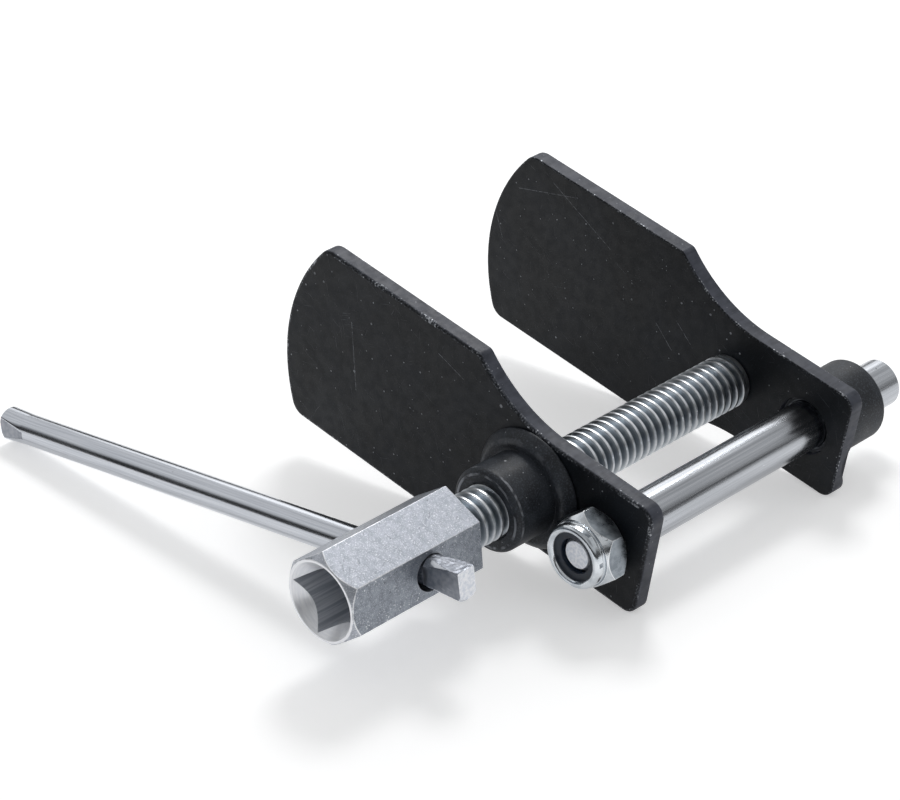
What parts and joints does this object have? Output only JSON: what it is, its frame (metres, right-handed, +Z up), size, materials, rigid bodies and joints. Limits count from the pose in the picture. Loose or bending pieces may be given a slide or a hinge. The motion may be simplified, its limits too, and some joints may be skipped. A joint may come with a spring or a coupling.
{
  "type": "brake caliper piston tool",
  "caption": "Brake piston spreader: black steel paddle plates on a guide rod, pushed apart by a screw with a hexagonal square-drive head and a sliding tommy bar.",
  "frame": {"origin": "centre of the drive socket's mouth, on the screw's axis", "axes": "+Y along the screw from the drive end to the rear plate, +X towards the plates' tails, +Z up from the bench that the tool lies on"},
  "size_m": [0.1724, 0.1685, 0.0594],
  "materials": {
    "black_oxide_steel": "black oxide on sheared steel, worn bright along the edges",
    "zinc_plated_hexagon": "bright zinc plate on rough hexagon bar",
    "zinc_plated_thread": "bright zinc plate on a rolled thread",
    "zinc_plated_nut": "bright zinc plate, faintly yellow",
    "chromed_steel": "polished hard chrome",
    "drawn_steel": "bright drawn bar with pinched ends",
    "spring_steel": "phosphated spring steel",
    "nylon": "dark blue nylon"
  },
  "bodies": {
    "front_frame": {"front_plate": "black_oxide_steel", "spindle_hub": "black_oxide_steel", "guide_rod": "chromed_steel", "lock_nut": "zinc_plated_nut", "lock_nut_insert": "nylon"},
    "rear_carriage": {"rear_plate": "black_oxide_steel", "guide_sleeve": "black_oxide_steel"},
    "screw": {"spindle": "zinc_plated_thread", "drive_head": "zinc_plated_hexagon", "thrust_washer": "zinc_plated_nut", "retaining_ring": "spring_steel"},
    "handle": {"tommy_bar": "drawn_steel"}
  },
  "joints": [
    {"name": "plate_slide", "type": "slide", "parent": "front_frame", "child": "rear_carriage", "axis": [0, 1, 0], "range_m": [-0.06655, 0.01185]},
    {"name": "screw_turn", "type": "hinge", "parent": "rear_carriage", "child": "screw", "pos_m": [0, 0.138, 0], "axis": [0, 1, 0], "range_deg": [-9576, 1699.2]},
    {"name": "bar_slide", "type": "slide", "parent": "screw", "child": "handle", "axis": [-0.9926, -0.0209, -0.1197], "range_m": [-0.1161, 0.001]}
  ],
  "couplings": [
    {"joint": "plate_slide", "follows": "screw_turn", "m_per_rad": 0.00039789}
  ]
}
